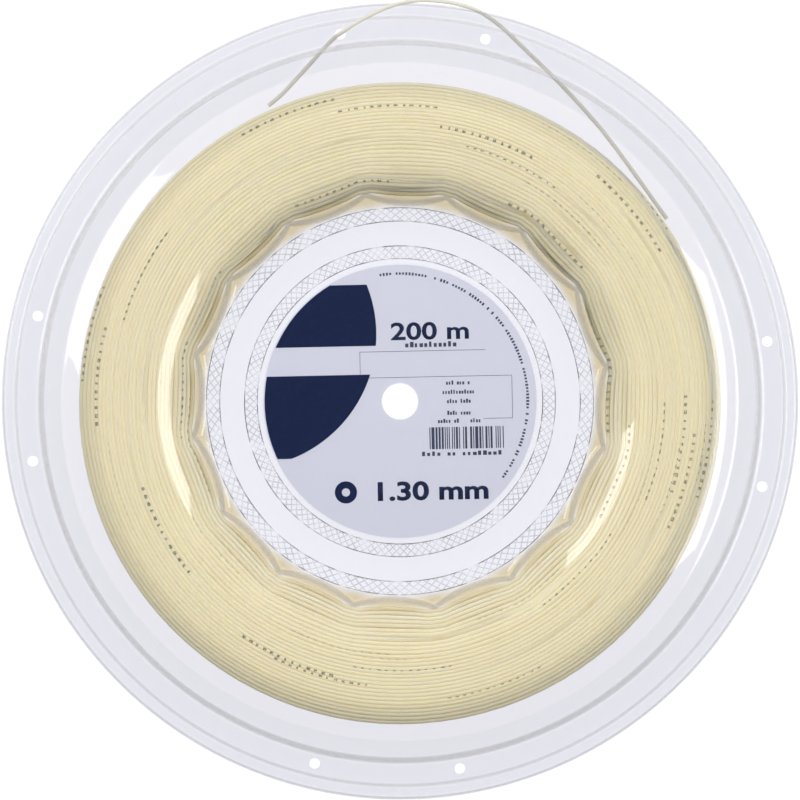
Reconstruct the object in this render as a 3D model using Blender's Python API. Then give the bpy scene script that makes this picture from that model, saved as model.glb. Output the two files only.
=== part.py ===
"""A reel of racket string.

Two thin clear shells stand back to back, each a hub floor, a fluted hub wall and a flange in one sheet.
The flange swells over the string, levels out in a narrow land and steps down twice to the rim. A printed
paper disc lies between the two floors, string is wound on the hub, and the string's loose end passes over
the rim and back through a small hole in the front flange.

Metres, +Z up. The reel lies on the swell of the rear shell, so its axis is Z and its front faces up.
"""

import math

import bmesh
import bpy
from mathutils import Vector

MM = 0.001

# The reel as a whole
RIM_RADIUS = 125.0 * MM
HALF_WIDTH = 14.0 * MM
SHEET = 0.8 * MM
GAP = 0.3 * MM
SEGMENTS = 64
CREASE = math.radians(30.0)

# The hub
SPINDLE_HOLE_RADIUS = 5.5 * MM
LABEL_RADIUS = 43.0 * MM
LABEL_HOLE_RADIUS = 5.9 * MM
PAPER = 0.3 * MM
POCKET_RADIUS = 43.8 * MM
FLOOR_RADIUS = 61.2 * MM
FLUTE_COUNT = 16
FLUTE_TURN = math.radians(9.6)
FLUTE_DEPTH = 3.1 * MM
FLUTE_SHARPNESS = 2.2

# The flange
INNER_CREST_RADIUS = 88.0 * MM
INNER_BEND = 36.6 * MM
OUTER_CREST_RADIUS = 92.2 * MM
OUTER_BEND = 28.0 * MM
LAND_INNER_RADIUS = 106.6 * MM
LAND_OUTER_RADIUS = 112.3 * MM
LAND_HEIGHT = 9.7 * MM
BAND_INNER_RADIUS = 113.8 * MM
BAND_OUTER_RADIUS = 120.8 * MM
BAND_HEIGHT = 6.2 * MM
LIP_HEIGHT = 4.9 * MM
END_HOLE_RADIUS = 1.6 * MM
END_HOLE_CIRCLE = 117.0 * MM
END_HOLE_PAIRS = 4
END_HOLE_SPREAD = math.radians(11.25)
END_HOLE_TURN = math.radians(-2.0)
DRILL_SIDES = 12
DRILL_LENGTH = 3.0 * HALF_WIDTH

# The string
STRING_DIAMETER = 1.3 * MM
WINDING_RADIUS = 100.6 * MM
WINDING_EDGE = 3.0 * MM
WINDING_GAP = 0.8 * MM
TAIL_POINTS = 80
TAIL_BEVEL_RESOLUTION = 2

MIDDLE = Vector((0.0, 0.0, HALF_WIDTH))

# The loose end's route, in millimetres from the middle of the reel: out of the winding, up between the
# flanges, over the front rim, down through the end hole and back to the winding.
TAIL_ROUTE = (
    (83.9, 57.4, 1.0),
    (73.6, 71.8, 1.6),
    (62.9, 86.0, 2.2),
    (50.6, 99.6, 2.6),
    (40.6, 109.4, 2.8),
    (31.4, 118.1, 2.9),
    (24.2, 122.9, 3.0),
    (17.6, 125.0, 3.8),
    (11.2, 125.9, 5.2),
    (4.6, 125.9, 6.5),
    (-2.2, 124.4, 7.3),
    (-8.2, 121.9, 7.8),
    (-13.4, 119.1, 8.4),
    (-17.3, 116.5, 7.9),
    (-18.8, 115.5, 6.1),
    (-20.3, 114.5, 4.3),
    (-23.6, 111.3, 3.5),
    (-27.8, 106.6, 3.0),
    (-32.6, 101.4, 2.8),
    (-37.2, 96.5, 2.6),
    (-41.4, 92.9, 2.4),
)


def clear_scene():
    """Remove every object that the scene holds."""
    for item in list(bpy.data.objects):
        bpy.data.objects.remove(item)


def make_material(name, colour, roughness, alpha=1.0):
    """Return a Principled material with these values; nothing on the reel is metal."""
    material = bpy.data.materials.new(name)
    material.use_nodes = True
    shader = material.node_tree.nodes["Principled BSDF"]
    shader.inputs["Base Color"].default_value = (*colour, 1.0)
    shader.inputs["Roughness"].default_value = roughness
    shader.inputs["Metallic"].default_value = 0.0
    shader.inputs["Alpha"].default_value = alpha
    return material


def add_object(name, data, material):
    """Link a new object that holds this data and wears this material."""
    item = bpy.data.objects.new(name, data)
    item.data.materials.append(material)
    bpy.context.scene.collection.objects.link(item)
    return item


def turned_mesh(name, section_at):
    """Sweep a closed section once round Z.

    section_at(angle) gives the section's (radius, height) corners, as many at every angle. Seen with the
    radius to the right and the height up, they run clockwise.
    """
    work = bmesh.new()
    rings = []
    for step in range(SEGMENTS):
        angle = FLUTE_TURN + 2.0 * math.pi * step / SEGMENTS
        cos, sin = math.cos(angle), math.sin(angle)
        corners = section_at(angle)
        rings.append([work.verts.new((r * cos, r * sin, z)) for r, z in corners])
    for here, there in zip(rings, rings[1:] + rings[:1]):
        for low, high in zip(range(len(here)), [*range(1, len(here)), 0]):
            work.faces.new((here[low], here[high], there[high], there[low]))
    mesh = bpy.data.meshes.new(name)
    work.to_mesh(mesh)
    work.free()
    mesh.shade_smooth()
    mesh.set_sharp_from_angle(angle=CREASE)
    return mesh


def flute_share(angle):
    """Return 1 on the crest of a flute of the hub wall and 0 halfway between two of them."""
    pitch = 2.0 * math.pi / FLUTE_COUNT
    away = abs((angle - FLUTE_TURN + pitch / 2) % pitch - pitch / 2) / (pitch / 2)
    return (1.0 - away) ** FLUTE_SHARPNESS


def swell_height(radius):
    """Return the height of the sheet's middle line over the string.

    The crest is flat between two circles, and falls away in a circular arc on either side of them.
    """
    inward = max(0.0, INNER_CREST_RADIUS - radius)
    outward = max(0.0, radius - OUTER_CREST_RADIUS)
    inner_fall = INNER_BEND - math.sqrt(INNER_BEND**2 - inward**2)
    outer_fall = OUTER_BEND - math.sqrt(OUTER_BEND**2 - outward**2)
    return HALF_WIDTH - SHEET / 2 - inner_fall - outer_fall


def string_chamber(angle):
    """Return the middle line of the sheet beside the string, from the foot of the hub wall outwards.

    Heights count from the middle plane of the reel. The wall stands further out on a flute, and the flutes
    run out where the flange swells.
    """
    flute = FLUTE_DEPTH * flute_share(angle)
    foot = [(61.9 * MM + 0.9 * flute, 1.5 * MM), (62.7 * MM + flute, 3.0 * MM)]
    swell = [63.7 * MM + flute, 66.3 * MM + 0.75 * flute, 69.5 * MM + 0.35 * flute]
    swell += [73.0 * MM, 77.5 * MM, 82.5 * MM, INNER_CREST_RADIUS, OUTER_CREST_RADIUS, 97.0 * MM]
    return foot + [(radius, swell_height(radius)) for radius in swell]


def shell_line(angle):
    """Return the middle line of a shell's sheet at this angle, from the spindle hole out to the rim."""
    pocket_height = PAPER / 2 + GAP + SHEET / 2
    weld_height = GAP / 2 + SHEET / 2
    floor = [
        (SPINDLE_HOLE_RADIUS, pocket_height),
        (POCKET_RADIUS, pocket_height),
        (POCKET_RADIUS + 0.6 * MM, weld_height),
        (FLOOR_RADIUS, weld_height),
    ]
    rim = [
        (101.5 * MM, swell_height(101.5 * MM)),
        (105.0 * MM, swell_height(105.0 * MM)),
        (LAND_INNER_RADIUS, LAND_HEIGHT + 0.2 * MM),
        (LAND_OUTER_RADIUS, LAND_HEIGHT),
        (BAND_INNER_RADIUS, BAND_HEIGHT + 0.1 * MM),
        (BAND_OUTER_RADIUS, BAND_HEIGHT),
        (BAND_OUTER_RADIUS + 0.8 * MM, LIP_HEIGHT),
        (RIM_RADIUS, LIP_HEIGHT),
    ]
    return floor + string_chamber(angle) + rim


def offset_line(line, distance):
    """Return the line moved sideways, up for a positive distance, with mitred corners."""
    points = [Vector(point) for point in line]
    moved = []
    for index, point in enumerate(points):
        before = points[max(index - 1, 0)]
        after = points[min(index + 1, len(points) - 1)]
        runs = [run.normalized() for run in (point - before, after - point) if run.length > 0]
        normals = [Vector((-run.y, run.x)) for run in runs]
        normal = sum(normals, Vector((0.0, 0.0))).normalized()
        moved.append(point + normal * distance / normal.dot(normals[0]))
    return moved


def front_section(angle):
    """Return the front shell's section: the face outwards, then back along the string's side."""
    line = shell_line(angle)
    face = offset_line(line, SHEET / 2)
    back = offset_line(line, -SHEET / 2)
    return [tuple(point) for point in face + back[::-1]]


def rear_section(angle):
    """Return the rear shell's section, the front one's mirror image in the middle plane."""
    return [(radius, -height) for radius, height in reversed(front_section(angle))]


def end_hole_angles():
    """Return the angles of the small holes that hold a string's end: a pair about each of four axes."""
    angles = []
    for axis in range(END_HOLE_PAIRS):
        centre = END_HOLE_TURN + 2.0 * math.pi * axis / END_HOLE_PAIRS
        angles += [centre - END_HOLE_SPREAD, centre + END_HOLE_SPREAD]
    return angles


def cut_end_holes(shell):
    """Drill the small holes through the flat band of a shell's flange."""
    work = bmesh.new()
    for angle in end_hole_angles():
        made = bmesh.ops.create_cone(
            work,
            cap_ends=True,
            segments=DRILL_SIDES,
            radius1=END_HOLE_RADIUS,
            radius2=END_HOLE_RADIUS,
            depth=DRILL_LENGTH,
        )
        place = (END_HOLE_CIRCLE * math.cos(angle), END_HOLE_CIRCLE * math.sin(angle), 0.0)
        bmesh.ops.translate(work, verts=made["verts"], vec=place)
    mesh = bpy.data.meshes.new(shell.name + "_drills")
    work.to_mesh(mesh)
    work.free()
    drills = bpy.data.objects.new(shell.name + "_drills", mesh)
    drills.location = MIDDLE
    drills.hide_render = True
    drills.display_type = "WIRE"
    bpy.context.scene.collection.objects.link(drills)
    cut = shell.modifiers.new("end_holes", "BOOLEAN")
    cut.operation = "DIFFERENCE"
    cut.solver = "EXACT"
    cut.object = drills


def make_shell(name, section_at, material):
    """Build one shell: the turned sheet with its string-end holes."""
    shell = add_object(name, turned_mesh(name, section_at), material)
    shell.location = MIDDLE
    cut_end_holes(shell)


def label_section(_angle):
    """Return the paper disc's section, a thin ring round the spindle hole."""
    return [
        (LABEL_HOLE_RADIUS, PAPER / 2),
        (LABEL_RADIUS, PAPER / 2),
        (LABEL_RADIUS, -PAPER / 2),
        (LABEL_HOLE_RADIUS, -PAPER / 2),
    ]


def winding_section(angle):
    """Return the winding's section: it fills the chamber and is rounded off at its outer edges."""
    filled = offset_line(string_chamber(angle), -SHEET / 2 - WINDING_GAP)
    front = [tuple(point) for point in filled]
    shoulder = front[-1][1]
    front += [
        (WINDING_RADIUS - WINDING_EDGE / 4, shoulder - WINDING_EDGE / 2),
        (WINDING_RADIUS, shoulder - WINDING_EDGE),
    ]
    rear = [(radius, -height) for radius, height in reversed(front)]
    return front + rear


def smooth_route(corners, count):
    """Return count points along a smooth curve through the corners.

    Between corners b and c the curve is the Catmull-Rom cubic of the corners a, b, c and d around them.
    """
    ends = [2 * corners[0] - corners[1], *corners, 2 * corners[-1] - corners[-2]]
    points = []
    for index in range(count):
        place = index * (len(corners) - 1) / (count - 1)
        span = min(int(place), len(corners) - 2)
        t = place - span
        a, b, c, d = ends[span : span + 4]
        bend = (2 * a - 5 * b + 4 * c - d) * t * t + (3 * b - a - 3 * c + d) * t**3
        points.append(0.5 * (2 * b + (c - a) * t + bend))
    return points


def make_tail(name, material):
    """Build the string's loose end as a tube along its route."""
    curve = bpy.data.curves.new(name, "CURVE")
    curve.dimensions = "3D"
    curve.bevel_depth = STRING_DIAMETER / 2
    curve.bevel_resolution = TAIL_BEVEL_RESOLUTION
    curve.use_fill_caps = True
    corners = [Vector(corner) * MM + MIDDLE for corner in TAIL_ROUTE]
    points = smooth_route(corners, TAIL_POINTS)
    spline = curve.splines.new("POLY")
    spline.points.add(len(points) - 1)
    for slot, point in zip(spline.points, points):
        slot.co = (*point, 1.0)
    add_object(name, curve, material)


def main():
    clear_scene()
    clear_plastic = make_material("clear_plastic", (0.80, 0.82, 0.87), 0.08, alpha=0.35)
    clear_plastic_rear = make_material("clear_plastic_rear", (0.80, 0.82, 0.87), 0.08, alpha=0.35)
    paper = make_material("paper", (0.58, 0.61, 0.70), 0.45)
    nylon = make_material("nylon", (0.72, 0.66, 0.40), 0.30)
    nylon_end = make_material("nylon_end", (0.74, 0.70, 0.48), 0.30)
    make_shell("front_shell", front_section, clear_plastic)
    make_shell("rear_shell", rear_section, clear_plastic_rear)
    label = add_object("label", turned_mesh("label", label_section), paper)
    label.location = MIDDLE
    winding = add_object("string_winding", turned_mesh("string_winding", winding_section), nylon)
    winding.location = MIDDLE
    make_tail("string_tail", nylon_end)


main()
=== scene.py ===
"""A reel of racket string, as it lies on a studio floor."""

import math

import bpy
import numpy as np
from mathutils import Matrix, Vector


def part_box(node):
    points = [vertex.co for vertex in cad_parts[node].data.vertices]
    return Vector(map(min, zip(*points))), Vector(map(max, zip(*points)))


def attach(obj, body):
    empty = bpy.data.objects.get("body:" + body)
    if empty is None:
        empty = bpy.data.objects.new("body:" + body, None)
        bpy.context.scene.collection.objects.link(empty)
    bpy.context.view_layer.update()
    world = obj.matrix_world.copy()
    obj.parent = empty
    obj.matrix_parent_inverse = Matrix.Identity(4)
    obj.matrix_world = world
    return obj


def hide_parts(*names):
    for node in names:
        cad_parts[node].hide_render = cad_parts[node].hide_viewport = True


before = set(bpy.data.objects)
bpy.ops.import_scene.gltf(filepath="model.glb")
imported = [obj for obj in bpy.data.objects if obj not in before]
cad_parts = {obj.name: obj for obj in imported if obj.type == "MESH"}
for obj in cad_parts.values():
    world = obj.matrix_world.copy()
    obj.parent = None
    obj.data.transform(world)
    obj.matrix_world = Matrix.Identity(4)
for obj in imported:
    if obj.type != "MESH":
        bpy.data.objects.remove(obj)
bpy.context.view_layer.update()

# ---------------------------------------------------------------------------------------------------
# The floor, the light and the camera. A white light table stands under the reel, and two soft boxes
# hang above it, one to the upper left and one to the right, 40 to 46 degrees off the reel's axis.
# A wide fill panel softens the shadows, and is hidden from reflections.

MM = 0.001
MIDDLE = (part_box("front_shell")[1].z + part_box("rear_shell")[0].z) / 2


def linear(code):
    """The linear RGBA of an sRGB colour written as six hex digits: c/12.92 in the toe, else a 2.4 power."""
    parts = np.array([int(code[i : i + 2], 16) for i in (0, 2, 4)]) / 255
    out = np.where(parts <= 0.04045, parts / 12.92, ((parts + 0.055) / 1.055) ** 2.4)
    return (*out.tolist(), 1.0)


def add_node(tree, kind, settings=None, links=None):
    """Add a node. Settings name its properties or input sockets; a link is a socket or a plain number."""
    node = tree.nodes.new("ShaderNode" + kind)
    for name, value in (settings or {}).items():
        if isinstance(name, str) and hasattr(node, name):
            setattr(node, name, value)
        else:
            node.inputs[name].default_value = value
    for name, source in (links or {}).items():
        if isinstance(source, (int, float)):
            node.inputs[name].default_value = source
        else:
            tree.links.new(source, node.inputs[name])
    return node


def new_material(name):
    """An empty material and its node tree."""
    material = bpy.data.materials.new(name)
    material.use_nodes = True
    material.node_tree.nodes.clear()
    return material, material.node_tree


def cell_quads(index):
    """One quad of vertex numbers for each cell of a grid of them."""
    return np.stack([index[:-1, :-1], index[:-1, 1:], index[1:, 1:], index[1:, :-1]], -1).reshape(-1, 4)


def grid_mesh(name, points, wrap_rows=False, wrap_columns=False):
    """A mesh over a grid of points, rows by columns by 3, with a quad for each cell, joined where asked."""
    rows, columns = points.shape[:2]
    index = np.arange(rows * columns).reshape(rows, columns)
    if wrap_rows:
        index = np.vstack([index, index[:1]])
    if wrap_columns:
        index = np.hstack([index, index[:, :1]])
    mesh = bpy.data.meshes.new(name)
    mesh.from_pydata(points.reshape(-1, 3), [], cell_quads(index).tolist())
    mesh.shade_smooth()
    return mesh


FLOOR_HALF = 4.0
FLOOR_GLOW = 1.02

# Opal acrylic lit from below: an even white with hardly any tone of its own.
light_table, tree = new_material("light_table_opal_acrylic")
noise = add_node(tree, "TexNoise", {"Scale": 3.0, "Detail": 2.0})
shade = add_node(
    tree, "MixRGB", {"Color1": linear("686869"), "Color2": linear("6C6C6D")}, {"Fac": noise.outputs["Fac"]}
)
surface = add_node(
    tree,
    "BsdfPrincipled",
    {"Roughness": 0.6, "Emission Color": (1.0, 1.0, 1.0, 1.0), "Emission Strength": FLOOR_GLOW},
    {"Base Color": shade.outputs["Color"]},
)
add_node(tree, "OutputMaterial", {}, {"Surface": surface.outputs["BSDF"]})

side = np.array([-FLOOR_HALF, FLOOR_HALF])
floor_points = np.stack([*np.meshgrid(side, side, indexing="ij"), np.zeros((2, 2))], -1)
floor = bpy.data.objects.new("floor", grid_mesh("floor", floor_points[:, ::-1]))
floor.data.materials.append(light_table)
bpy.context.scene.collection.objects.link(floor)
# Its glow shows through the sheets but doesn't light the winding from below.
floor.visible_diffuse = False

OVERHEAD = 0.35
SURROUND = 0.9
world = bpy.data.worlds.new("studio")
bpy.context.scene.world = world
world.use_nodes = True
tree = world.node_tree
tree.nodes.clear()
place = add_node(tree, "TexCoord")
axes = add_node(tree, "SeparateXYZ", {}, {0: place.outputs["Generated"]})
low = add_node(
    tree,
    "MapRange",
    {"interpolation_type": "SMOOTHSTEP", "From Min": 0.60, "From Max": 0.42},
    {"Value": axes.outputs["Z"]},
)
far = add_node(
    tree,
    "MapRange",
    {"interpolation_type": "SMOOTHSTEP", "From Min": -0.45, "From Max": 0.25, "To Min": 0.08},
    {"Value": axes.outputs["Y"]},
)
wall = add_node(tree, "Math", {"operation": "MULTIPLY"}, {0: low.outputs[0], 1: far.outputs[0]})
above = add_node(
    tree,
    "MapRange",
    {
        "interpolation_type": "SMOOTHSTEP",
        "From Min": 0.97,
        "From Max": 0.86,
        "To Min": 0.04,
        "To Max": OVERHEAD,
    },
    {"Value": axes.outputs["Z"]},
)
power = add_node(
    tree, "Math", {"operation": "MULTIPLY_ADD", 1: SURROUND}, {0: wall.outputs[0], 2: above.outputs[0]}
)
sky = add_node(tree, "Background", {"Color": (1.0, 1.0, 1.0, 1.0)}, {"Strength": power.outputs[0]})
add_node(tree, "OutputWorld", {}, {"Surface": sky.outputs[0]})

LIGHT_DISTANCE = 1.2
SOFT_BOXES = {
    "soft_box_left": {"turn": 155.0, "tilt": 45.5, "width": 0.57, "height": 0.26, "radiance": 3.0},
    "soft_box_right": {"turn": -2.0, "tilt": 40.0, "width": 0.81, "height": 0.28, "radiance": 3.0},
}
FILL = {"turn": 100.0, "tilt": 24.0, "width": 1.1, "height": 0.9, "radiance": 3.4}
for name, box in [*SOFT_BOXES.items(), ("fill_panel", FILL)]:
    light = bpy.data.lights.new(name, "AREA")
    light.shape = "RECTANGLE"
    light.size = box["width"]
    light.size_y = box["height"]
    light.energy = box["radiance"] * math.pi * box["width"] * box["height"]
    lamp = bpy.data.objects.new(name, light)
    turn = math.radians(box["turn"])
    tilt = math.radians(box["tilt"])
    lamp.location = (
        LIGHT_DISTANCE * math.sin(tilt) * math.cos(turn),
        LIGHT_DISTANCE * math.sin(tilt) * math.sin(turn),
        LIGHT_DISTANCE * math.cos(tilt),
    )
    lamp.rotation_euler = (tilt, 0.0, turn + math.pi / 2)
    lamp.visible_glossy = name != "fill_panel"
    bpy.context.scene.collection.objects.link(lamp)

CAMERA_DISTANCE = 6.0
VIEW_WIDTH = 251.44 * MM
VIEW_LIFT = 0.41 * MM
camera = bpy.data.objects.new("camera", bpy.data.cameras.new("camera"))
camera.data.sensor_width = 36.0
camera.data.lens = 36.0 * CAMERA_DISTANCE / VIEW_WIDTH
camera.data.clip_end = 20.0
camera.location = (0.0, VIEW_LIFT, MIDDLE + 5 * MM + CAMERA_DISTANCE)
bpy.context.scene.collection.objects.link(camera)
bpy.context.scene.camera = camera
bpy.context.scene.view_settings.view_transform = "Standard"

# ---------------------------------------------------------------------------------------------------
# The label: a disc of coated paper, die cut and printed in two inks, that lies loose between the two
# hub floors. The print is generic: dark panels, sizes and bars.

LABEL_RADIUS = 43.0 * MM
LABEL_HOLE = 5.9 * MM
PAPER = 0.3 * MM
LABEL_TURN = math.radians(1.2)


def ring_surface(radii, heights, steps, turn=0.0):
    """Points of a turned surface: each (radius, height) pair carried once round the reel's axis."""
    angles = turn + np.linspace(0.0, 2 * np.pi, steps, endpoint=False)
    radii, heights = np.asarray(radii), np.asarray(heights)
    return np.stack(
        [
            radii[None] * np.cos(angles)[:, None],
            radii[None] * np.sin(angles)[:, None],
            np.broadcast_to(heights + MIDDLE, (steps, len(radii))),
        ],
        -1,
    )


def add_piece(name, data, material):
    """Link an object that holds this mesh or curve, wears this material and rides on the reel."""
    piece = bpy.data.objects.new(name, data)
    data.materials.append(material)
    bpy.context.scene.collection.objects.link(piece)
    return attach(piece, "root")


# Coated paper: a cool, pale, even sheet with a faint mottle of fibres under a soft sheen.
coated_paper, tree = new_material("coated_paper")
place = add_node(tree, "TexCoord")
fibres = add_node(
    tree, "TexNoise", {"Scale": 900.0, "Detail": 4.0}, {"Vector": place.outputs["Object"]}
)
paper_shade = add_node(
    tree,
    "MixRGB",
    {"Color1": linear("E1E2EB"), "Color2": linear("E8E9F0")},
    {"Fac": fibres.outputs["Fac"]},
)
paper_bump = add_node(
    tree, "Bump", {"Strength": 0.08, "Distance": 0.00005}, {"Height": fibres.outputs["Fac"]}
)
surface = add_node(
    tree,
    "BsdfPrincipled",
    {"Roughness": 0.38, "IOR": 1.5},
    {"Base Color": paper_shade.outputs["Color"], "Normal": paper_bump.outputs["Normal"]},
)
add_node(tree, "OutputMaterial", {}, {"Surface": surface.outputs["BSDF"]})

label_radii = np.array([LABEL_HOLE, LABEL_RADIUS, LABEL_RADIUS, LABEL_HOLE])
label_heights = np.array([PAPER, PAPER, -PAPER, -PAPER]) / 2
label_points = ring_surface(label_radii, label_heights, 256)
label = add_piece("label_disc", grid_mesh("label_disc", label_points, True, True), coated_paper)
label.data.set_sharp_from_angle(angle=math.radians(30))
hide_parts("label")

INK = 0.02 * MM
INK_LEVEL = MIDDLE + PAPER / 2 + INK / 2
PRINT_EDGE = 42.6 * MM


def turned(points):
    """Points in label millimetres, turned by the label's own small turn and laid on the paper."""
    x, y = points[..., 0] * MM, points[..., 1] * MM
    cos, sin = math.cos(LABEL_TURN), math.sin(LABEL_TURN)
    return np.stack([x * cos - y * sin, x * sin + y * cos, np.full_like(x, INK_LEVEL)], -1)


def rectangles(boxes):
    """A grid of 2 by 2 corners for each (left, bottom, right, top)."""
    left, bottom, right, top = np.asarray(boxes, float).T
    x = np.stack([left, right, left, right], -1).reshape(-1, 2, 2)
    y = np.stack([bottom, bottom, top, top], -1).reshape(-1, 2, 2)
    return list(np.stack([x, y], -1))


def dark_panel(low, high):
    """The panel between two heights: from the label's edge across to the arc of a larger circle."""
    y = np.linspace(low, high, 40)[:, None]
    left = -np.sqrt((PRINT_EDGE / MM) ** 2 - y**2)
    right = -49.0 + np.sqrt(42.0**2 - (y - 22.0) ** 2)
    x = left + (right - left) * np.linspace(0, 1, 9)
    return np.stack([x, y + 0 * x], -1)


def words(dice, left, right, base, height, pitch):
    """Boxes for a line of small print: letter-high bars of uneven width with a gap now and then."""
    starts = np.arange(left, right - 0.5 * pitch, pitch)
    kept = starts[dice.random(len(starts)) > 0.13]
    wide = pitch * dice.uniform(0.5, 0.78, len(kept))
    tall = height * dice.choice([0.72, 1.0], len(kept), p=[0.7, 0.3])
    return np.stack([kept, np.full_like(kept, base), kept + wide, base + tall], -1)


def bars(dice, left, right, low, high):
    """Boxes for a row of upright bars: widths and gaps of one to three units, shuffled."""
    steps = np.cumsum(dice.choice([0.32, 0.64, 0.96], 200, p=[0.6, 0.28, 0.12]))
    edges = left + steps[steps < right - left]
    edges = edges[: len(edges) // 2 * 2].reshape(-1, 2)
    return np.stack([edges[:, 0], 0 * edges[:, 0] + low, edges[:, 1], 0 * edges[:, 0] + high], -1)


def edge_words(dice, radius, first, last, height):
    """Boxes bent round the label's edge between two angles, as small print set on a circle."""
    starts = np.radians(np.arange(first, last, -1.45))
    starts = starts[dice.random(len(starts)) > 0.16]
    share = np.linspace(0, 1, 3)[None, :, None]
    rise = np.linspace(0, 1, 2)[None, None, :]
    angle = starts[:, None, None] - np.radians(0.85) * share
    reach = radius + height * (rise - 0.5) * dice.choice([0.75, 1.0], len(starts))[:, None, None]
    angle, reach = np.broadcast_arrays(angle, reach)
    return list(np.stack([reach * np.cos(angle), reach * np.sin(angle)], -1)[:, ::-1])


def flat_print(name, patches, material):
    """One thin closed layer of ink over flat patches, each a grid of points in label millimetres."""
    points = []
    quads = []
    first = 0
    for patch in patches:
        rows, columns = patch.shape[:2]
        quads.append(cell_quads(first + np.arange(rows * columns).reshape(rows, columns)))
        points.append(turned(patch).reshape(-1, 3))
        first += rows * columns
    layer = bpy.data.meshes.new(name)
    layer.from_pydata(np.concatenate(points), [], np.concatenate(quads).tolist())
    piece = add_piece(name, layer, material)
    wall = piece.modifiers.new("ink", "SOLIDIFY")
    wall.thickness = INK
    wall.offset = 0.0


def ink_material(name, dark, light, roughness):
    """Offset ink on coated paper: its tone drifts a little with the paper's fibres."""
    material, tree = new_material(name)
    place = add_node(tree, "TexCoord")
    fibres = add_node(tree, "TexNoise", {"Scale": 700.0, "Detail": 3.0}, {"Vector": place.outputs["Object"]})
    tone = add_node(
        tree, "MixRGB", {"Color1": linear(dark), "Color2": linear(light)}, {"Fac": fibres.outputs["Fac"]}
    )
    surface = add_node(
        tree, "BsdfPrincipled", {"Roughness": roughness, "IOR": 1.5}, {"Base Color": tone.outputs["Color"]}
    )
    add_node(tree, "OutputMaterial", {}, {"Surface": surface.outputs["BSDF"]})
    return material


navy_ink = ink_material("navy_offset_ink", "08193F", "10264F", 0.42)
grey_ink = ink_material("grey_offset_ink", "3C4258", "4A5067", 0.5)
dice = np.random.default_rng(21)
panels = [dark_panel(17.6, 36.9), dark_panel(-17.4, 8.6)]
rim, hole = 3.5, 1.3
spin = np.linspace(0, 2 * np.pi, 49)[:, None]
reach = np.linspace(rim, hole, 3)
badge = [np.stack([-17.6 + reach * np.cos(spin), -28.3 + reach * np.sin(spin)], -1)[:, ::-1]]
flat_print("label_dark_print", panels + badge, navy_ink)
lines = [(-7.2, 15.65, 27.2, 15.8), (-12.4, 7.45, 35.4, 7.6), (-12.4, 7.45, -12.25, 15.8)]
lines += [(-12.4, 15.65, -7.2, 15.8), (35.25, -6.0, 35.4, 7.6), (26.2, -6.0, 35.4, -5.85)]
small = [
    words(dice, 14.6, 22.6, 4.9, 1.3, 0.85), words(dice, 12.6, 24.0, 2.0, 1.3, 0.85),
    words(dice, 14.8, 22.4, -0.9, 1.3, 0.85), words(dice, 14.8, 22.4, -4.6, 1.3, 0.85),
    words(dice, 11.8, 19.2, -7.1, 1.3, 0.85), words(dice, 21.2, 25.4, -7.1, 1.3, 0.85),
    words(dice, 6.6, 32.8, -17.4, 1.4, 1.6), bars(dice, 8.4, 32.8, -15.3, -8.4),
    words(dice, 2.0, 18.0, 16.9, 1.7, 1.5),
]
fine = rectangles(lines) + [box for rows in small for box in rectangles(rows)]
flat_print("label_fine_print", fine + edge_words(dice, 40.2, 98.0, -38.0, 0.95), grey_ink)


def numerals(name, text, left, base, height, stretch, bold, material):
    """Plain upright figures in ink, as high as asked for and stretched sideways by a share."""
    curve = bpy.data.curves.new(name, "FONT")
    curve.body = text
    curve.offset = bold
    curve.resolution_u = 4
    source = bpy.data.objects.new(name, curve)
    bpy.context.scene.collection.objects.link(source)
    bpy.context.view_layer.update()
    mesh = bpy.data.meshes.new_from_object(source)
    bpy.data.objects.remove(source)
    points = np.empty(len(mesh.vertices) * 3)
    mesh.vertices.foreach_get("co", points)
    points = points.reshape(-1, 3)
    placed = turned(points[:, :2] * [stretch, 1] * height / points[:, 1].max() + [left, base])
    mesh.vertices.foreach_set("co", placed.ravel())
    mesh.materials.clear()
    mesh.name = name
    piece = add_piece(name, mesh, material)
    wall = piece.modifiers.new("ink", "SOLIDIFY")
    wall.thickness = INK
    wall.offset = 0.0


numerals("label_length", "200 m", -2.6, 19.4, 5.4, 1.3, 0.022, navy_ink)
numerals("label_gauge", "1.30 mm", -9.4, -31.0, 5.8, 1.3, 0.03, navy_ink)

# ---------------------------------------------------------------------------------------------------
# The winding: nylon string, about 200 m of it, wound under light tension in layers that run to and
# fro between the flanges. It is drawn extruded nylon: pale, milky, slightly glossy, with ink marks.

STRING = 1.3 * MM
WINDING_RADIUS = 100.6 * MM
TURNS = 381
LAYER_STEP = 1.14 * MM
FIRST_LAYER = 67.6 * MM
DWELL = 1.02
SAG = 1.3 * MM
RINGS_PER_TURN = 96
SIDES = 8
LENGTHS = 4
SWELL_CREST = 13.6 * MM
INNER_CREST = 88.0 * MM
INNER_BEND = 36.6 * MM
OUTER_CREST = 92.2 * MM
OUTER_BEND = 28.0 * MM
FLUTE_COUNT = 16
FLUTE_TURN = math.radians(9.6)


def swell_height(radius):
    """Height of the flange's middle line over the reel's middle plane.

    The crest is flat between two circles, and falls away in a circular arc on either side of them.
    """
    inward = np.clip(INNER_CREST - radius, 0.0, INNER_BEND)
    outward = np.clip(radius - OUTER_CREST, 0.0, OUTER_BEND)
    fall = INNER_BEND - np.sqrt(INNER_BEND**2 - inward**2)
    fall = fall + OUTER_BEND - np.sqrt(OUTER_BEND**2 - outward**2)
    return SWELL_CREST - fall


def flute_share(angle):
    """1 on the crest of a flute and 0 halfway between two, as the 2.2 power of the way to the crest."""
    pitch = 2 * np.pi / FLUTE_COUNT
    away = np.abs((angle - FLUTE_TURN + pitch / 2) % pitch - pitch / 2) / (pitch / 2)
    return (1 - away) ** 2.2


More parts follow.
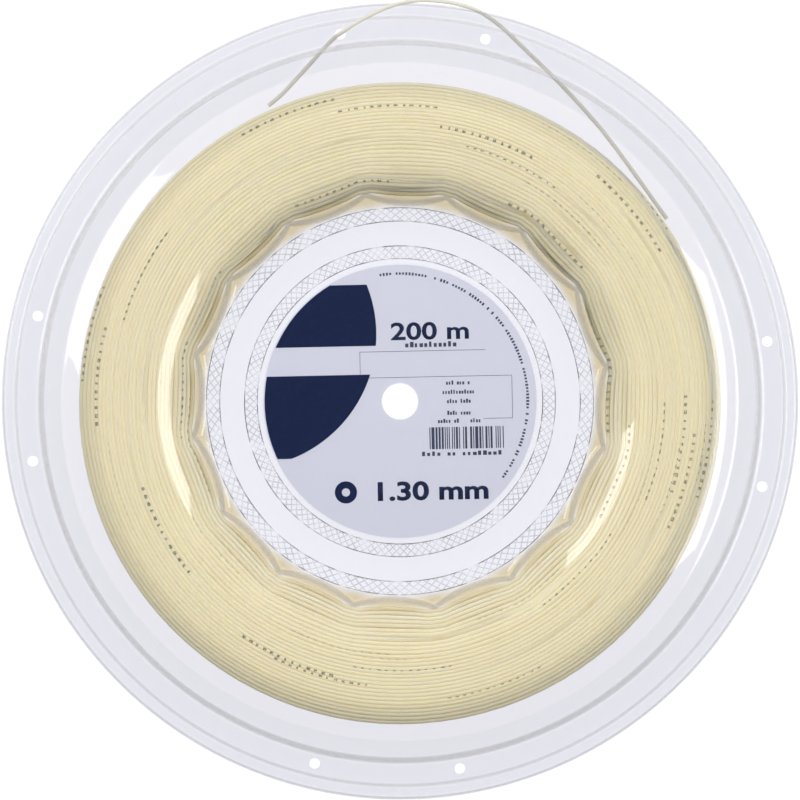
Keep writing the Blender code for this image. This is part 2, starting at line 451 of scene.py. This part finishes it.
def wander(angle, period, seed):
    """A smooth random line between -1 and 1, as cosine steps between random values a period apart."""
    rolls = np.random.default_rng(seed).uniform(-1, 1, int(angle[-1] / period) + 3)
    cell = (angle / period).astype(int)
    ease = (1 - np.cos(np.pi * (angle / period - cell))) / 2
    return rolls[cell] * (1 - ease) + rolls[cell + 1] * ease


def winding_route():
    """The string's centre line as angle, radius and height.

    It goes to and fro between the flanges, a layer for each pass, at a fixed number of turns a pass. A
    layer's radius grows by a step at each end. Near the hub it hangs in slack chords between the flutes,
    and the outer layers sag a little towards the reel's foot.
    """
    layers = int(np.ceil((WINDING_RADIUS - STRING / 2 - FIRST_LAYER) / LAYER_STEP))
    shares = np.random.default_rng(7).uniform(0.92, 1.08, layers)
    room = swell_height(FIRST_LAYER + LAYER_STEP * np.arange(layers)) - 1.2 * MM
    turns = room * shares
    ends = np.concatenate([[0.0], np.cumsum(turns / turns.sum() * TURNS)]) * 2 * np.pi
    angle = np.arange(TURNS * RINGS_PER_TURN + 1) * 2 * np.pi / RINGS_PER_TURN
    layer = np.clip(np.searchsorted(ends, angle, side="right") - 1, 0, layers - 1)
    dwell = 2 * np.pi * DWELL
    along = np.clip((angle - ends[layer] - dwell) / (ends[layer + 1] - ends[layer] - 2 * dwell), 0, 1)
    climb = np.clip((angle - ends[layer]) / 0.5, 0, 1)
    rise = np.where(layer > 0, climb * climb * (3 - 2 * climb) - 1, 0)
    radius = FIRST_LAYER + LAYER_STEP * (layer + rise)
    radius += 0.07 * MM * wander(angle, 2.9, 3)
    radius += SAG * (1 - np.sin(angle)) / 2 * np.clip((radius - 72 * MM) / (26 * MM), 0, 1)
    slack = 2.3 * MM * np.clip(1 - (radius - FIRST_LAYER) / (14 * MM), 0, 1)
    radius -= slack * (1 - flute_share(angle))
    half = swell_height(radius) - (1.25 + 0.08 * wander(angle, 3.1, 5)) * MM
    half -= 0.9 * MM * flute_share(angle) * np.clip((71 * MM - radius) / (4 * MM), 0, 1)
    height = half * np.where(layer % 2 == 0, 1 - 2 * along, 2 * along - 1)
    return angle, radius, height


angle, radius, height = winding_route()
centre_line = np.stack([radius * np.cos(angle), radius * np.sin(angle), height + MIDDLE], -1)
steps = np.linalg.norm(np.diff(centre_line, axis=0), axis=1)
along = np.concatenate([[0.0], np.cumsum(steps)])

PRINT_REPEAT = 0.41
PRINT_LENGTH = 0.032
PRINT_PITCH = 2.5 * MM

# Drawn nylon: a milky cream with a painted glow between the strands, and dark ink marks in short groups.
nylon, tree = new_material("drawn_nylon_monofilament")
place = add_node(tree, "UVMap", {"uv_map": "string"})
parts = add_node(tree, "SeparateXYZ", {}, {0: place.outputs[0]})
metres, roll = parts.outputs[0], parts.outputs[1]

# Where a letter stands: which group of marks, which letter in it, and how far across that letter.
repeats = add_node(tree, "Math", {"operation": "DIVIDE", 1: PRINT_REPEAT}, {0: metres}).outputs[0]
group = add_node(tree, "Math", {"operation": "FLOOR"}, {0: repeats}).outputs[0]
passed = add_node(tree, "Math", {"operation": "MULTIPLY", 1: PRINT_REPEAT}, {0: group}).outputs[0]
inside = add_node(tree, "Math", {"operation": "SUBTRACT"}, {0: metres, 1: passed}).outputs[0]
letters = add_node(tree, "Math", {"operation": "DIVIDE", 1: PRINT_PITCH}, {0: inside}).outputs[0]
letter = add_node(tree, "Math", {"operation": "FLOOR"}, {0: letters}).outputs[0]
across = add_node(tree, "Math", {"operation": "SUBTRACT"}, {0: letters, 1: letter}).outputs[0]

# Each letter is a bar of its own width, on the side of the string that faces up, broken by fine noise.
key = add_node(tree, "Math", {"operation": "MULTIPLY_ADD", 1: 31.7}, {0: group, 2: letter}).outputs[0]
chance = add_node(tree, "TexWhiteNoise", {"noise_dimensions": "1D"}, {"W": key}).outputs["Value"]
width = add_node(tree, "Math", {"operation": "MULTIPLY_ADD", 1: 0.34, 2: 0.2}, {0: chance}).outputs[0]
grouped = add_node(tree, "Math", {"operation": "LESS_THAN", 1: PRINT_LENGTH}, {0: inside}).outputs[0]
barred = add_node(tree, "Math", {"operation": "LESS_THAN"}, {0: across, 1: width}).outputs[0]
stroke = add_node(tree, "Math", {"operation": "MULTIPLY"}, {0: grouped, 1: barred}).outputs[0]
rolled_to = add_node(tree, "Math", {"operation": "FRACT"}, {0: roll}).outputs[0]
from_top = add_node(tree, "Math", {"operation": "SUBTRACT", 1: 0.25}, {0: rolled_to}).outputs[0]
aside = add_node(tree, "Math", {"operation": "ABSOLUTE"}, {0: from_top}).outputs[0]
upward = add_node(tree, "Math", {"operation": "LESS_THAN", 1: 0.15}, {0: aside}).outputs[0]
stroke = add_node(tree, "Math", {"operation": "MULTIPLY"}, {0: stroke, 1: upward}).outputs[0]
lengthwise = add_node(tree, "Math", {"operation": "MULTIPLY", 1: 2600.0}, {0: metres}).outputs[0]
sideways = add_node(tree, "Math", {"operation": "MULTIPLY", 1: 9.0}, {0: roll}).outputs[0]
spot = add_node(tree, "CombineXYZ", {}, {0: lengthwise, 1: sideways}).outputs[0]
shape = add_node(
    tree, "TexNoise", {"noise_dimensions": "2D", "Scale": 1.0, "Detail": 1.0}, {"Vector": spot}
).outputs["Fac"]
unbroken = add_node(tree, "Math", {"operation": "GREATER_THAN", 1: 0.38}, {0: shape}).outputs[0]
ink = add_node(tree, "Math", {"operation": "MULTIPLY"}, {0: stroke, 1: unbroken}).outputs[0]
ink = add_node(tree, "Math", {"operation": "MULTIPLY", 1: 0.72}, {0: ink}).outputs[0]

streak = add_node(tree, "TexNoise", {"noise_dimensions": "1D", "Scale": 1.7, "Detail": 2.0}, {"W": metres})
milk = add_node(
    tree, "MixRGB", {"Color1": linear("E3DBB8"), "Color2": linear("E7E0C4")}, {"Fac": streak.outputs["Fac"]}
)
inked = add_node(tree, "MixRGB", {"Color2": linear("2E2C22")}, {"Fac": ink, "Color1": milk.outputs[0]})

# A small emission, a painted glow, stands in for the light that passes from turn to turn. It fades out
# at the hub and at the winding's edge, which paints shade on the strands there. It is set for the look,
# and isn't a property of nylon.
place = add_node(tree, "TexCoord")
flat = add_node(
    tree, "VectorMath", {"operation": "MULTIPLY", 1: (1.0, 1.0, 0.0)}, {0: place.outputs["Object"]}
)
reach = add_node(tree, "VectorMath", {"operation": "LENGTH"}, {0: flat.outputs[0]}).outputs["Value"]
opened = add_node(
    tree, "MapRange", {"From Min": 64 * MM, "From Max": 74 * MM, "To Max": 0.24}, {"Value": reach}
).outputs[0]
edged = add_node(tree, "MapRange", {"From Min": 101 * MM, "From Max": 94 * MM}, {"Value": reach}).outputs[0]
painted_glow = add_node(tree, "Math", {"operation": "MULTIPLY"}, {0: opened, 1: edged}).outputs[0]
surface = add_node(
    tree,
    "BsdfPrincipled",
    {
        "subsurface_method": "RANDOM_WALK",
        "Roughness": 0.34,
        "IOR": 1.53,
        "Subsurface Weight": 1.0,
        "Subsurface Radius": (1.0, 0.9, 0.65),
        "Subsurface Scale": 0.0005,
    },
    {"Base Color": inked.outputs[0], "Emission Color": inked.outputs[0], "Emission Strength": painted_glow},
)
add_node(tree, "OutputMaterial", {}, {"Surface": surface.outputs["BSDF"]})

cuts = np.linspace(0, len(angle) - 1, LENGTHS + 1).astype(int)
around = np.linspace(0, 2 * np.pi, SIDES, endpoint=False)
for number, (first, last) in enumerate(zip(cuts[:-1], cuts[1:]), 1):
    part = slice(first, last + 1)
    out = radius[part, None] + STRING / 2 * np.cos(around)
    tube = np.stack(
        [
            out * np.cos(angle[part, None]),
            out * np.sin(angle[part, None]),
            height[part, None] + MIDDLE + STRING / 2 * np.sin(around),
        ],
        -1,
    )
    name = f"string_length_{number}"
    turns = add_piece(name, grid_mesh(name, tube, False, True), nylon)
    row, column = np.meshgrid(np.arange(last - first), np.arange(SIDES), indexing="ij")
    row = np.stack([row, row, row + 1, row + 1], -1)
    column = np.stack([column, column + 1, column + 1, column], -1)
    rolled = column / SIDES + 0.36 * wander(angle, 7.0, 11)[part][row]
    uv = np.stack([along[part][row], rolled], -1)
    turns.data.uv_layers.new(name="string").data.foreach_set("uv", uv.astype(np.float32).ravel())
    if number == LENGTHS:
        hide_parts("string_winding")

# ---------------------------------------------------------------------------------------------------
# The clear shells: two sheets of clear PET, vacuum formed over the same mould, trimmed, and welded
# back to back at the hub by two knurled rings. The flange swells over the string and steps down to a rim.

SHEET = 0.8 * MM
SHELL_STEPS = 768
FLUTE_DEPTH = 3.1 * MM
KNURL_COUNT = 128
KNURL_HEIGHT = 0.14 * MM
KNURL_ROW = 2.3 * MM
KNURL_RINGS = ((44.9 * MM, 48.9 * MM), (56.7 * MM, 60.9 * MM))


# Each corner of the sheet's middle line: radius and height in millimetres, how far it moves with a flute,
# and the number of rows to the next corner on the face and on the string's side. A corner without a
# height lies on the swell.
SHELL_LINE = [
    (5.5, 0.85, 0, 3, 2), (43.4, 0.85, 0, 1, 1), (43.9, 0.78, 0, 1, 1), (44.4, 0.58, 0, 1, 1),
    (44.9, 0.55, 0, 10, 1), (48.9, 0.55, 0, 1, 1), (49.3, 0.55, 0, 1, 1), (56.3, 0.55, 0, 1, 1),
    (56.7, 0.55, 0, 10, 1), (60.9, 0.57, 0, 1, 1), (61.4, 0.75, 0.3, 1, 1), (61.9, 1.5, 0.9, 2, 1),
    (62.6, 2.9, 1.0, 2, 2), (63.2, None, 0.98, 2, 1), (63.9, None, 0.96, 1, 1), (65.2, None, 0.85, 2, 1),
    (67.2, None, 0.6, 2, 1), (69.5, None, 0.35, 2, 1), (72.0, None, 0.12, 2, 1), (75.0, None, 0, 2, 1),
    (78.5, None, 0, 1, 1), (82.5, None, 0, 1, 1), (86.5, None, 0, 1, 1), (90.1, None, 0, 1, 1),
    (93.5, None, 0, 1, 1), (97.0, None, 0, 1, 1), (100.0, None, 0, 1, 1), (103.0, None, 0, 1, 1),
    (105.2, None, 0, 2, 2), (106.4, 9.95, 0, 1, 1), (108.0, 9.8, 0, 1, 1), (111.7, 9.7, 0, 2, 1),
    (112.4, 9.5, 0, 2, 2), (113.3, 7.0, 0, 2, 2), (113.9, 6.3, 0, 1, 1), (115.0, 6.2, 0, 1, 1),
    (119.9, 6.2, 0, 1, 1), (120.6, 6.05, 0, 2, 2), (121.2, 5.1, 0, 2, 1), (121.9, 4.9, 0, 1, 1),
    (123.9, 4.9, 0, 2, 1), (124.7, 4.6, 0, 1, 1), (125.0, 4.1, 0, 1, 1),
]


def eased(knots, samples):
    """Cubic Hermite values at samples, in knot numbers; a knot's slope is the harmonic mean of its chords'.

    That keeps the curve from swinging out where close corners follow far ones.
    """
    chord = np.diff(knots, axis=0)
    both = chord[:-1] * chord[1:]
    mean = np.where(both > 0, 2 * both / np.where(both > 0, chord[:-1] + chord[1:], 1), 0)
    slope = np.concatenate([chord[:1], mean, chord[-1:]])
    cell = np.minimum(samples.astype(int), len(knots) - 2)
    t = (samples - cell)[:, None]
    return (
        knots[cell] * (1 + 2 * t) * (1 - t) ** 2 + knots[cell + 1] * t**2 * (3 - 2 * t)
        + slope[cell] * t * (1 - t) ** 2 - slope[cell + 1] * t**2 * (1 - t)
    )


def sheet_side(angle, column, offset):
    """Radius and height of one side of the sheet, row by angle, offset along the line's own normal."""
    rows = [np.arange(c[column]) / c[column] + k for k, c in enumerate(SHELL_LINE[:-1])]
    samples = np.append(np.concatenate(rows), len(SHELL_LINE) - 1.0)
    corner_radii, corner_heights, moves = np.array([c[:3] for c in SHELL_LINE], float).T[..., None]
    radii = corner_radii * MM + moves * FLUTE_DEPTH * flute_share(angle)
    heights = np.where(np.isnan(corner_heights), swell_height(radii), corner_heights * MM)
    radii, heights = eased(radii, samples), eased(heights, samples)
    dr, dh = np.gradient(radii, axis=0), np.gradient(heights, axis=0)
    size = np.hypot(dr, dh)
    return radii - dh / size * offset, heights + dr / size * offset


def knurl(radius, angle):
    """Height of the welding rings' knurl: rounded diamonds between two crossing sets of grooves."""
    turn = KNURL_COUNT * angle / (2 * np.pi)
    row = radius / KNURL_ROW
    grooves = np.abs(np.sin(np.pi * (turn + row)) * np.sin(np.pi * (turn - row)))
    inside = sum(((radius > a) & (radius < b)).astype(float) for a, b in KNURL_RINGS)
    return KNURL_HEIGHT * inside * (grooves**0.6 - 0.5)


def through(knots, samples):
    """Catmull-Rom values at samples, in knot numbers, through knots stacked along the first axis."""
    ends = np.concatenate([2 * knots[:1] - knots[1:2], knots, 2 * knots[-1:] - knots[-2:-1]])
    cell = np.minimum(samples.astype(int), len(knots) - 2)
    t = (samples - cell).reshape(-1, *[1] * (knots.ndim - 1))
    a, b, c, d = (ends[cell + k] for k in range(4))
    return 0.5 * (
        2 * b + (c - a) * t + (2 * a - 5 * b + 4 * c - d) * t**2 + (3 * b - a - 3 * c + d) * t**3
    )


shell_angles = FLUTE_TURN + np.linspace(0, 2 * np.pi, SHELL_STEPS, endpoint=False)
face = sheet_side(shell_angles, 3, SHEET / 2)
back = sheet_side(shell_angles, 4, -SHEET / 2)
loop_radii = np.concatenate([face[0], back[0][::-1]])
loop_heights = np.concatenate([face[1] + knurl(face[0], shell_angles), back[1][::-1]])

# Clear PET sheet: see-through face on, a mirror at a glancing angle, and greyer where it slopes, which is
# painted shade. The weld rings show fine crossed lines with broken dark borders, both painted shade, and the
# hub wall takes a little warm tone, painted shade for the winding seen through the steep wall.
clear_pet, tree = new_material("clear_pet_sheet")
facing = add_node(tree, "LayerWeight", {"Blend": 0.5}).outputs["Facing"]
place = add_node(tree, "TexCoord")
axes = add_node(tree, "SeparateXYZ", {}, {0: place.outputs["Object"]})
flat = add_node(
    tree, "VectorMath", {"operation": "MULTIPLY", 1: (1.0, 1.0, 0.0)}, {0: place.outputs["Object"]}
)
reach = add_node(tree, "VectorMath", {"operation": "LENGTH"}, {0: flat.outputs[0]}).outputs["Value"]

# Schlick's reflectance, 0.05 + 0.95 times the fifth power of the facing, and half that in the weld.
glancing = add_node(tree, "Math", {"operation": "POWER", 1: 5.0}, {0: facing}).outputs[0]
mirror = add_node(tree, "Math", {"operation": "MULTIPLY_ADD", 1: 0.95, 2: 0.05}, {0: glancing}).outputs[0]
welded = add_node(tree, "Math", {"operation": "LESS_THAN", 1: 61.3 * MM}, {0: reach}).outputs[0]
share = add_node(tree, "Math", {"operation": "MULTIPLY_ADD", 1: -0.5, 2: 1.0}, {0: welded}).outputs[0]
mirror = add_node(tree, "Math", {"operation": "MULTIPLY"}, {0: mirror, 1: share}).outputs[0]
# Painted shade: the sheet turns greyer as it slopes, standing in for the light that steep plastic bends
# away.
slope = add_node(tree, "Math", {"operation": "POWER", 1: 2.6}, {0: facing}).outputs[0]
slope = add_node(tree, "Math", {"operation": "MULTIPLY", 1: 0.6}, {0: slope}).outputs[0]


def near(position, target, width):
    """1 where a position is on its target, falling to 0 at the width."""
    gap = add_node(tree, "Math", {"operation": "SUBTRACT", 1: target}, {0: position}).outputs[0]
    gap = add_node(tree, "Math", {"operation": "ABSOLUTE"}, {0: gap}).outputs[0]
    limits = {"interpolation_type": "SMOOTHSTEP", "From Min": width, "From Max": 0.0}
    return add_node(tree, "MapRange", limits, {"Value": gap}).outputs[0]


def groove(first, operation, second):
    """1 where the sum or difference of two pattern coordinates is whole, fading to 0 at 0.17 away."""
    number = add_node(tree, "Math", {"operation": operation}, {0: first, 1: second}).outputs[0]
    number = add_node(tree, "Math", {"operation": "ADD", 1: 0.5}, {0: number}).outputs[0]
    return near(add_node(tree, "Math", {"operation": "FRACT"}, {0: number}).outputs[0], 0.5, 0.17)


around_turn = add_node(
    tree, "Math", {"operation": "ARCTAN2"}, {0: axes.outputs[1], 1: axes.outputs[0]}
).outputs[0]
turn = add_node(
    tree, "Math", {"operation": "MULTIPLY", 1: KNURL_COUNT / (2 * math.pi)}, {0: around_turn}
).outputs[0]
row = add_node(tree, "Math", {"operation": "DIVIDE", 1: KNURL_ROW}, {0: reach}).outputs[0]
crossing = add_node(
    tree, "Math", {"operation": "MAXIMUM"}, {0: groove(turn, "ADD", row), 1: groove(turn, "SUBTRACT", row)}
).outputs[0]
rings = 0.0
borders = 0.0
for inner, outer in KNURL_RINGS:
    past = add_node(tree, "Math", {"operation": "GREATER_THAN", 1: inner}, {0: reach}).outputs[0]
    short = add_node(tree, "Math", {"operation": "LESS_THAN", 1: outer}, {0: reach}).outputs[0]
    inside = add_node(tree, "Math", {"operation": "MULTIPLY"}, {0: past, 1: short}).outputs[0]
    rings = add_node(tree, "Math", {"operation": "ADD"}, {0: inside, 1: rings}).outputs[0]
    for edge in (inner, outer):
        line = near(reach, edge, 0.2 * MM)
        borders = add_node(tree, "Math", {"operation": "MAXIMUM"}, {0: line, 1: borders}).outputs[0]
patches = add_node(tree, "TexNoise", {"Scale": 260.0, "Detail": 3.0}, {"Vector": place.outputs["Object"]})
uneven = add_node(
    tree, "MapRange", {"From Min": 0.36, "From Max": 0.62}, {"Value": patches.outputs["Fac"]}
).outputs[0]
# Painted shade: dark crossed lines along the weld rings' grooves, uneven in patches, where steep knurl sides
# bend light away.
knurl_painted_shade = add_node(tree, "Math", {"operation": "MULTIPLY"}, {0: crossing, 1: rings}).outputs[0]
knurl_shade_depth = add_node(tree, "Math", {"operation": "MULTIPLY_ADD", 1: 0.11, 2: 0.04}, {0: uneven}).outputs[0]
knurl_painted_shade = add_node(tree, "Math", {"operation": "MULTIPLY"}, {0: knurl_painted_shade, 1: knurl_shade_depth}).outputs[0]
# Painted shade: broken dark lines along the weld rings' borders.
border_painted_shade = add_node(tree, "Math", {"operation": "MULTIPLY", 1: 0.75}, {0: uneven}).outputs[0]
border_painted_shade = add_node(tree, "Math", {"operation": "MULTIPLY"}, {0: borders, 1: border_painted_shade}).outputs[0]
# Painted shade: faint dark lines at the rim's edge and at the lip's step, where the sheet turns steeply.
rim_painted_shade = near(reach, 124.75 * MM, 0.5 * MM)
rim_painted_shade = add_node(tree, "Math", {"operation": "MULTIPLY", 1: 0.12}, {0: rim_painted_shade}).outputs[0]
lip_painted_shade = near(reach, 120.9 * MM, 0.5 * MM)
lip_painted_shade = add_node(tree, "Math", {"operation": "MULTIPLY", 1: 0.1}, {0: lip_painted_shade}).outputs[0]
shade = slope
for mark in (knurl_painted_shade, border_painted_shade, rim_painted_shade, lip_painted_shade):
    shade = add_node(tree, "Math", {"operation": "MAXIMUM"}, {0: shade, 1: mark}).outputs[0]

tint = add_node(
    tree, "MixRGB", {"Color1": linear("FAFAFC"), "Color2": linear("8E9098")}, {"Fac": shade}
)
# Painted shade: a warm, darker tone on the hub wall, standing in for the winding seen bent through the steep
# wall.
hub_wall_painted_shade = near(reach, 63.8 * MM, 3.6 * MM)
hub_wall_painted_shade = add_node(tree, "Math", {"operation": "MULTIPLY", 1: 0.4}, {0: hub_wall_painted_shade}).outputs[0]
warm = add_node(tree, "MixRGB", {"Color2": linear("EBE1C0")}, {"Fac": hub_wall_painted_shade, "Color1": tint.outputs[0]})
clear = add_node(tree, "BsdfTransparent", {}, {"Color": warm.outputs["Color"]})
gloss = add_node(tree, "BsdfAnisotropic", {"Roughness": 0.05, "Color": (1.0, 1.0, 1.0, 1.0)})
stretched = add_node(
    tree, "MapRange", {"From Min": 0.18, "From Max": 0.62, "To Max": 0.16}, {"Value": facing}
).outputs[0]
haze = add_node(tree, "BsdfDiffuse", {"Color": linear("E4E3E0")})
body = add_node(tree, "MixShader", {}, {0: stretched, 1: clear.outputs[0], 2: haze.outputs[0]})
mixed = add_node(tree, "MixShader", {}, {0: mirror, 1: body.outputs[0], 2: gloss.outputs[0]})
add_node(tree, "OutputMaterial", {}, {"Surface": mixed.outputs[0]})

END_HOLE_RADIUS = 1.6 * MM
END_HOLE_CIRCLE = 117.0 * MM
END_HOLES = np.radians(-2.0 + np.array([90 * k + s * 11.25 for k in range(4) for s in (-1, 1)]))


def drill(name):
    """Eight closed pins that stand through both flanges, one for each small hole."""
    turn = np.linspace(0, 2 * np.pi, 32, endpoint=False)
    pins = []
    faces = []
    for index, angle in enumerate(END_HOLES):
        x = END_HOLE_CIRCLE * math.cos(angle) + END_HOLE_RADIUS * np.cos(turn)
        y = END_HOLE_CIRCLE * math.sin(angle) + END_HOLE_RADIUS * np.sin(turn)
        for z in (MIDDLE - 20 * MM, MIDDLE + 20 * MM):
            pins.append(np.stack([x, y, np.full_like(x, z)], -1))
        low = np.arange(32) + 64 * index
        faces += np.stack([low, np.roll(low, -1), np.roll(low, -1) + 32, low + 32], -1).tolist()
        faces += [low[::-1].tolist(), (low + 32).tolist()]
    mesh = bpy.data.meshes.new(name)
    mesh.from_pydata(np.concatenate(pins), [], faces)
    tool = bpy.data.objects.new(name, mesh)
    bpy.context.scene.collection.objects.link(tool)
    return tool


pins = drill("pins")
for side, sign in {"front": 1, "rear": -1}.items():
    radii, heights = (loop_radii, loop_heights) if sign > 0 else (loop_radii[::-1], -loop_heights[::-1])
    points = np.stack(
        [radii * np.cos(shell_angles), radii * np.sin(shell_angles), heights + MIDDLE], -1
    )
    shell = add_piece(
        side + "_clear_shell",
        grid_mesh(side + "_clear_shell", points.transpose(1, 0, 2), True, True),
        clear_pet,
    )
    cut = shell.modifiers.new("end_holes", "BOOLEAN")
    cut.operation = "DIFFERENCE"
    cut.solver = "EXACT"
    cut.object = pins
    bpy.context.view_layer.update()
    drilled = bpy.data.meshes.new_from_object(
        shell.evaluated_get(bpy.context.evaluated_depsgraph_get())
    )
    shell.modifiers.clear()
    shell.data = drilled
    drilled.set_sharp_from_angle(angle=math.radians(50))
    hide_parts(side + "_shell")
bpy.data.objects.remove(pins)

# ---------------------------------------------------------------------------------------------------
# The loose end: the last turn of the string, drawn out over the front rim and back through one of the
# small holes, where it tucks in beside the winding.

END_ROUTE = [
    (83.9, 57.4, 1.0), (73.6, 71.8, 1.6), (62.9, 86.0, 2.2), (50.6, 99.6, 2.6), (40.6, 109.4, 2.8),
    (31.4, 118.1, 2.9), (24.2, 122.9, 3.0), (17.6, 125.0, 3.8), (11.2, 125.9, 5.2), (4.6, 125.9, 6.5),
    (-2.2, 124.4, 7.3), (-8.2, 121.9, 7.8), (-13.4, 119.1, 8.4), (-17.3, 116.5, 7.9), (-18.8, 115.5, 6.1),
    (-20.3, 114.5, 4.3), (-23.6, 111.3, 3.5), (-27.8, 106.6, 3.0), (-32.6, 101.4, 2.8), (-37.2, 96.5, 2.6),
    (-41.4, 92.9, 2.4),
]
END_STEPS = 240

corners = np.array(END_ROUTE) * MM + [0.0, 0.0, MIDDLE]
route = through(corners, np.linspace(0, len(corners) - 1, END_STEPS))
curve = bpy.data.curves.new("string_loose_end", "CURVE")
curve.dimensions = "3D"
curve.bevel_depth = STRING / 2
curve.bevel_resolution = 4
curve.use_fill_caps = True
spline = curve.splines.new("POLY")
spline.points.add(END_STEPS - 1)
spline.points.foreach_set("co", np.column_stack([route, np.ones(END_STEPS)]).ravel())
spline.use_smooth = True
# One strand on its own: the same nylon, greyer and clearer than the deep winding.
single_strand, tree = new_material("drawn_nylon_single_strand")
place = add_node(tree, "TexCoord")
streak = add_node(tree, "TexNoise", {"Scale": 40.0, "Detail": 2.0}, {"Vector": place.outputs["Object"]})
milk = add_node(
    tree, "MixRGB", {"Color1": linear("DAD8CC"), "Color2": linear("E2E0D6")}, {"Fac": streak.outputs["Fac"]}
)
surface = add_node(
    tree,
    "BsdfPrincipled",
    {"Roughness": 0.34, "IOR": 1.53},
    {"Base Color": milk.outputs["Color"]},
)
clear = add_node(tree, "BsdfTransparent", {"Color": linear("F4F4EE")})
strand = add_node(tree, "MixShader", {0: 0.3}, {1: surface.outputs[0], 2: clear.outputs[0]})
add_node(tree, "OutputMaterial", {}, {"Surface": strand.outputs[0]})
loose_end = add_piece("string_loose_end", curve, single_strand)
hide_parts("string_tail")
